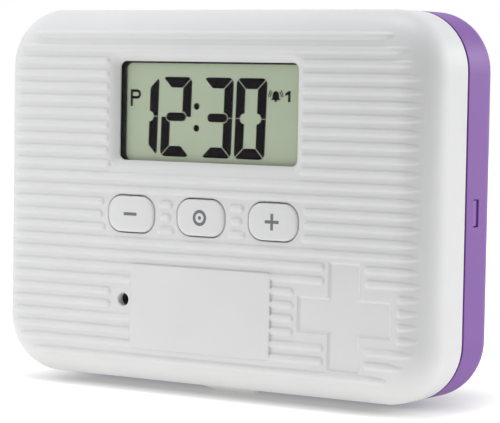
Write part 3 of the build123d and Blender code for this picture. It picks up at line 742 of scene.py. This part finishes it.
# %% Letter for the afternoon
SIGN_STROKE = 0.58
LETTER_PLACE = (-20.9, 2.05)    # its lower left corner
LETTER_SIZE = (2.72, 3.6)
BOWL_SHARE = 0.56               # of the letter's height


def letter_outlines(x, z):
    """A plain capital with a stem and a bowl."""
    width, height = LETTER_SIZE
    top = z + height
    stem_right = x + SIGN_STROKE
    bowl = height * BOWL_SHARE
    radius = bowl / 2
    outer = arc(x + width - radius, top - radius, radius, -90, 90, steps=10)
    inner = arc(x + width - radius, top - radius, radius - SIGN_STROKE, 90, -90, steps=10)
    bowl_outline = ([(stem_right, top - bowl)] + outer
                    + [(stem_right, top), (stem_right, top - SIGN_STROKE)]
                    + inner + [(stem_right, top - bowl + SIGN_STROKE)])
    return [box_outline(x, stem_right, z, top), bowl_outline]


print("outlines of the letter:", len(letter_outlines(*LETTER_PLACE)))

# %% Ringing bell
BELL_PLACE = (16.15, 4.75)
BELL_RIM = (1.25, -0.72)        # half a width and a height, from the bell's middle
BELL_WAIST = (0.84, -0.34)
DOME_HEIGHT, DOME_RADIUS = 0.30, 0.80
CLAPPER_HEIGHT, CLAPPER_RADIUS = -0.88, 0.28
KNOB_HEIGHT, KNOB_RADIUS = 1.04, 0.18
WAVE_RADII = (1.42, 1.84)
WAVE_STROKE = 0.2
WAVE_ANGLES = (-5, 48)


def bell_outlines(x, z):
    rim_x, rim_z = BELL_RIM
    waist_x, waist_z = BELL_WAIST
    bell = ([(x - rim_x, z + rim_z), (x - waist_x, z + waist_z)]
            + arc(x, z + DOME_HEIGHT, DOME_RADIUS, 180, 0, steps=10)
            + [(x + waist_x, z + waist_z), (x + rim_x, z + rim_z)])
    outlines = [bell, circle(x, z + CLAPPER_HEIGHT, CLAPPER_RADIUS, steps=12),
                circle(x, z + KNOB_HEIGHT, KNOB_RADIUS, steps=10)]
    low, high = WAVE_ANGLES
    for side in (-1, 1):
        for radius in WAVE_RADII:
            outer = arc(0, 0, radius, low, high, steps=6)
            inner = arc(0, 0, radius - WAVE_STROKE, high, low, steps=6)
            outlines.append([(x + side * px, z + pz) for px, pz in outer + inner])
    return outlines


print("outlines of the bell:", len(bell_outlines(*BELL_PLACE)))

# %% Number of the alarm, and all the signs
NUMERAL_PLACE = (19.2, 4.8)
NUMERAL_OUTLINE = ((-0.05, -1.15), (0.52, -1.15), (0.52, 1.15), (0.08, 1.15),
                   (-0.72, 0.60), (-0.72, 0.05), (-0.05, 0.45))     # stem and flag


def numeral_outlines(x, z):
    return [[(x + px, z + pz) for px, pz in NUMERAL_OUTLINE]]


signs = (letter_outlines(*LETTER_PLACE) + bell_outlines(*BELL_PLACE)
         + numeral_outlines(*NUMERAL_PLACE))
thin_piece("lcd_signs", signs, DISPLAY_CENTRE, FILM_THICKNESS, SEGMENTS, "lid")
print("small sign outlines:", len(signs))

# %% [markdown]
# ## Button caps
# Each cap is a soft-edged pad that is nearly flush with the face, so that a thin dark
# gap shows all round it. The node fits its opening and travels in it, but has one
# even rounding. A subdivided block would be soft too, but its outline would shrink.
# This piece keeps the outline, flange and stem, and its crown falls away to the gap
# in a profile of several rings, the soft form that a polished mould leaves.

# %% Caps with a soft crown
BUTTONS = ("hour_button", "mode_button", "minute_button")
CAP_SIZE = (11.9, 7.7)
CAP_CORNER = 3.25
FLANGE_CORNER = 0.2
FLANGE_FRONT = 2.75        # behind the crown of the node
FLANGE_THICKNESS = 0.8
STEM_RADIUS = 2.5
CROWN_PROFILE = ((0.0, 0.72), (0.10, 0.52), (0.28, 0.36), (0.60, 0.27), (1.1, 0.22),
                 (1.9, 0.20))   # (in from the outline, behind the crown of the node)


def cap_loop(inset):
    return centred_loop(CAP_SIZE[0] / 2 - inset, CAP_SIZE[1] / 2 - inset, CAP_CORNER - inset)


def soft_cap(button):
    low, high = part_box(button)
    centre = Vector(((low.x + high.x) / 2, low.y, (low.z + high.z) / 2))
    flange = centred_loop((high.x - low.x) / 2 / MM, (high.z - low.z) / 2 / MM, FLANGE_CORNER)
    stem = centred_loop(STEM_RADIUS, STEM_RADIUS, STEM_RADIUS)
    flange_back = FLANGE_FRONT + FLANGE_THICKNESS
    section = [(cap_loop(inset), y) for inset, y in reversed(CROWN_PROFILE)]
    section += [(cap_loop(0), FLANGE_FRONT), (flange, FLANGE_FRONT), (flange, flange_back),
                (stem, flange_back), (stem, (high.y - low.y) / MM)]
    piece = skin(button + "_cap", section, centre, WHITE_BUTTON, closed=False)
    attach(piece, button)
    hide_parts(button)
    return piece


for button in BUTTONS:
    print(button, "has", len(soft_cap(button).data.polygons), "faces")

# %% [markdown]
# ## Marks on the buttons
# Each cap carries a small pad-printed mark in grey: a minus, a ring with a point
# and a plus. The cap's material could paint them, but their edges would be soft
# close up, so each is a thin piece that rides on its cap. Pad printing leaves a
# film a few hundredths of a millimetre thick with slightly uneven coverage, which
# shows in the ink as a faint mottle. The piece starts just inside the skin of the
# crown, so that no edge of the film floats.

# %% Ink and outlines of the marks
MARK_STROKE = 0.66
MARK_HALF = 1.7
POINT_RADIUS = MARK_STROKE * 0.6


def grey_ink(name):
    material, shader = new_material(name, Roughness=0.55)
    mottle = add_noise(material, size=0.3, detail=4.0)
    add_tones(material, shader, mottle, (0.13, 0.14, 0.155), (0.20, 0.21, 0.225))
    return material


def minus_outlines():
    return [box_outline(-MARK_HALF, MARK_HALF, -MARK_STROKE / 2, MARK_STROKE / 2)]


def plus_outlines():
    near, far = MARK_STROKE / 2, MARK_HALF
    return [[(-far, -near), (-near, -near), (-near, -far), (near, -far), (near, -near),
             (far, -near), (far, near), (near, near), (near, far), (-near, far),
             (-near, near), (-far, near)]]


def ring_outlines():
    """Two half rings, because a face can't have a hole, and a point."""
    halves = []
    for start in (90, 270):
        outer = arc(0, 0, MARK_HALF, start, start + 180, steps=16)
        inner = arc(0, 0, MARK_HALF - MARK_STROKE, start + 180, start, steps=16)
        halves.append(outer + inner)
    return halves + [circle(0, 0, POINT_RADIUS, steps=16)]


print("points of a half ring:", len(ring_outlines()[0]))

# %% Marks on their caps
INK = grey_ink("grey_ink")
INK_THICKNESS = 0.07
INK_BED = CROWN_PROFILE[-1][1] + 0.05   # behind the crown of the node
MARK_OUTLINES = (minus_outlines(), ring_outlines(), plus_outlines())

for button, outlines in zip(BUTTONS, MARK_OUTLINES):
    low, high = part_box(button)
    bed = Vector(((low.x + high.x) / 2, low.y + INK_BED * MM, (low.z + high.z) / 2))
    thin_piece(button.replace("button", "mark"), outlines, bed, INK_THICKNESS, INK,
               button)
print("marks:", len(MARK_OUTLINES))

# %% [markdown]
# ## What only the eye sees
# Lamps fade with distance, so a lit sheet under the box would end in a grey horizon,
# and more light on it would bleach the box as well. So the surroundings have two
# faces. Rays that light the box meet a plain level. Rays that end in the eye,
# straight or by way of a reflection or glass, meet white. Light Path tells the two
# kinds apart.

# %% Rays that end in the eye
def seen_directly(tree):
    paths = tree.nodes.new("ShaderNodeLightPath")
    source = paths.outputs["Is Camera Ray"]
    for name in ("Is Glossy Ray", "Is Transmission Ray"):
        either = tree.nodes.new("ShaderNodeMath")
        either.operation = "MAXIMUM"
        tree.links.new(source, either.inputs[0])
        tree.links.new(paths.outputs[name], either.inputs[1])
        source = either.outputs["Value"]
    return source


print("ray switch ready")

# %% [markdown]
# ## Distance and fades on the floor
# The white that the eye sees on the floor is held back near the box, so that a
# painted shadow shows there on top of the faint real one. The painted shadow is
# darkest under the box and fades faster in front than behind. A painted mask could
# draw it as well, but a few vector steps do: how far a point lies outside the foot
# of the box, each direction at its own speed.

# %% Distance from the foot of the box
PAINTED_SHADOW_LOW = Vector((-34, -5, 0)) * MM      # where the painted shadow is darkest: left and front,
PAINTED_SHADOW_HIGH = Vector((34, 12, 0)) * MM      # right and back
FADE_LOW = (0.55, 1.0, 0)                 # how fast it fades beyond each of them
FADE_HIGH = (0.52, 0.34, 0)


def add_vector_step(material, operation, first, second=(0, 0, 0)):
    """Each side is the output of another node, or a constant."""
    step = add_node(material, "ShaderNodeVectorMath", operation=operation)
    for socket, side in zip(step.inputs, (first, second)):
        if isinstance(side, bpy.types.NodeSocket):
            material.node_tree.links.new(side, socket)
        else:
            socket.default_value = side
    return step.outputs["Value" if operation == "LENGTH" else "Vector"]


def distance_from_foot(material, place):
    parts = []
    for first, second, speed in ((place, PAINTED_SHADOW_HIGH, FADE_HIGH), (PAINTED_SHADOW_LOW, place, FADE_LOW)):
        off = add_vector_step(material, "SUBTRACT", first, second)
        off = add_vector_step(material, "MAXIMUM", off)
        parts.append(add_vector_step(material, "MULTIPLY", off, speed))
    return add_vector_step(material, "LENGTH", add_vector_step(material, "ADD", *parts))


def add_fade(material, distance, start, end, near, far):
    """A smooth step from one level to another between two distances."""
    fade = add_node(material, "ShaderNodeMapRange", interpolation_type="SMOOTHSTEP",
                    From_Min=start, From_Max=end, To_Min=near, To_Max=far)
    material.node_tree.links.new(distance, fade.inputs["Value"])
    return fade


print("foot of the shadow:", [round(side / MM) for side in PAINTED_SHADOW_HIGH - PAINTED_SHADOW_LOW], "mm")

# %% [markdown]
# ## Floor
# The box stands on a plain pale sheet. To the lamps it is nearly white paper that
# also glows warm round the foot, a glow in place of bounce light, which lights the
# underside of the ribs. To the eye it is a darker grey with a glow of white added:
# little near the foot, which paints a deep shadow there, and full further out, where
# the sheet melts into the background. One tone for lamps and eye alike would lose
# either the shadow or the white round it.

# %% Tones of the floor
SHEET_TONES = ((0.91, 0.91, 0.91), (0.93, 0.93, 0.93))
SEEN_TONE = (0.32, 0.32, 0.32, 1)   # the sheet's grey as the eye sees it, before the white glow


def floor_tones(material, shader, seen):
    paper = add_noise(material, size=30.0)
    tones = add_tones(material, shader, paper, *SHEET_TONES)
    shown = add_node(material, "ShaderNodeMix", data_type="RGBA")
    shown.inputs[MIX_LIGHT].default_value = SEEN_TONE
    material.node_tree.links.new(seen, shown.inputs[MIX_FACTOR])
    link(material, tones, MIX_RESULT, shown, MIX_DARK)
    link(material, shown, MIX_RESULT, shader, "Base Color")


print("tones of the floor ready")

# %% Light that the floor adds
# White glow that the eye sees: low at the foot, where it paints the shadow, full further out
LIFT_IN_PAINTED_SHADOW = 0.26
FAR_LIFT = 1.0
LIFT_WIDTH = 17.0                   # from the near lift to the far one
# The floor glows for the lamps' rays round the foot: a glow that stands in for bounce light
FOOT_GLOW = 0.30
FOOT_GLOW_TINT = (1.0, 0.995, 0.93, 1)
FOOT_GLOW_FADE = (80.0, 220.0)         # from full to nothing, away from the middle
PLAIN_WHITE = (1, 1, 1, 1)


def floor_glow(material, seen):
    """The warm glow that lights the box in place of bounce light, and the white lift for the
    eye, which paints the shadow round the foot.
    """
    tree = material.node_tree
    place = add_node(material, "ShaderNodeTexCoord").outputs["Object"]
    # The white glow for the eye stays low inside the painted shadow round the foot
    lift = add_fade(material, distance_from_foot(material, place), 0, LIFT_WIDTH * MM,
                    LIFT_IN_PAINTED_SHADOW, FAR_LIFT)
    radius = add_vector_step(material, "LENGTH", place)
    full, none = FOOT_GLOW_FADE
    glow_for_lamps = add_fade(material, radius, full * MM, none * MM, FOOT_GLOW, 0)
    choice = add_node(material, "ShaderNodeMix", data_type="FLOAT")
    tree.links.new(seen, choice.inputs["Factor"])
    link(material, glow_for_lamps, "Result", choice, "A")
    link(material, lift, "Result", choice, "B")
    tint = add_node(material, "ShaderNodeMix", data_type="RGBA")
    tint.inputs[MIX_DARK].default_value = FOOT_GLOW_TINT
    tint.inputs[MIX_LIGHT].default_value = PLAIN_WHITE
    tree.links.new(seen, tint.inputs[MIX_FACTOR])
    glow = add_node(material, "ShaderNodeEmission")
    link(material, choice, "Result", glow, "Strength")
    link(material, tint, MIX_RESULT, glow, "Color")
    return glow


print("glow of the floor ready")

# %% Floor sheet
FLOOR_SIZE = 3.0
FLOOR_CELLS = 8


def floor_finish():
    material, shader = new_material("floor_sheet", Roughness=0.9)
    seen = seen_directly(material.node_tree)
    floor_tones(material, shader, seen)
    both = add_node(material, "ShaderNodeAddShader")
    link(material, shader, "BSDF", both, 0)
    link(material, floor_glow(material, seen), "Emission", both, 1)
    output = material.node_tree.nodes["Material Output"]
    link(material, both, "Shader", output, "Surface")
    return material


def make_floor():
    mesh = bmesh.new()
    bmesh.ops.create_grid(mesh, x_segments=FLOOR_CELLS, y_segments=FLOOR_CELLS,
                          size=FLOOR_SIZE / 2)
    floor = new_piece("floor", mesh, floor_finish())
    return floor


make_floor()
print("floor is", FLOOR_SIZE, "m wide")

# %% [markdown]
# ## Background
# The surroundings of a product table are white cards. A backdrop could stand behind
# the box, but the box is looked at from all sides, so the world itself is the card:
# white to the eye, and a low even level to everything that it lights.

# %% World
WORLD_LIGHT = 0.28


def make_world():
    world = bpy.data.worlds.new("studio")
    world.use_nodes = True
    tree = world.node_tree
    background = tree.nodes["Background"]
    background.inputs["Color"].default_value = PLAIN_WHITE
    strength = tree.nodes.new("ShaderNodeMapRange")
    strength.inputs["To Min"].default_value = WORLD_LIGHT
    tree.links.new(seen_directly(tree), strength.inputs["Value"])
    tree.links.new(strength.outputs["Result"], background.inputs["Strength"])
    bpy.context.scene.world = world


make_world()
bpy.context.scene.view_settings.view_transform = "Standard"
print("surroundings light the box at", WORLD_LIGHT)

# %% [markdown]
# ## Lamps
# Four soft boxes stand round the box. A wide one overhead leaves the face to the
# white floor, which throws light up under each rib, and drops a soft shadow. A small
# near one at the front left fades across the face. One behind at the right lights
# the side wall, and leaves a darker band where the round edge turns away from both.
# A further one behind it puts the highlight on the purple corner and a bright line
# on the rear edge of the lid. One large lamp would be simpler, but shallow ribs only
# show in light that comes from a few clear directions.

# %% Soft boxes
BOX_MIDDLE = Vector((0, 0, face_middle_z))
SKY_TINT = (0.955, 0.97, 1.0)


def soft_box(name, place, size, power):
    """Place and size in metres, power in watts. It faces the middle of the box."""
    data = bpy.data.lights.new(name, "AREA")
    data.shape = "RECTANGLE"
    data.size, data.size_y = size
    data.energy = power
    lamp = bpy.data.objects.new(name, data)
    lamp.location = place
    lamp.rotation_mode = "QUATERNION"
    lamp.rotation_quaternion = (BOX_MIDDLE - Vector(place)).to_track_quat("-Z", "Y")
    bpy.context.scene.collection.objects.link(lamp)
    return lamp


overhead_box = soft_box("overhead_box", place=(0.0, -0.06, 0.95), size=(0.6, 0.40), power=4.5)
overhead_box.data.color = SKY_TINT
near_box = soft_box("front_left_box", place=(-0.16, -0.165, 0.15), size=(0.14, 0.14), power=0.19)
near_box.visible_glossy = False     # so that it leaves no pale patch in the lens
soft_box("right_box", place=(0.49, 0.345, 0.16), size=(0.35, 0.35), power=1.17)
soft_box("rear_right_box", place=(0.47, 0.80, 0.33), size=(0.3, 0.3), power=1.2)
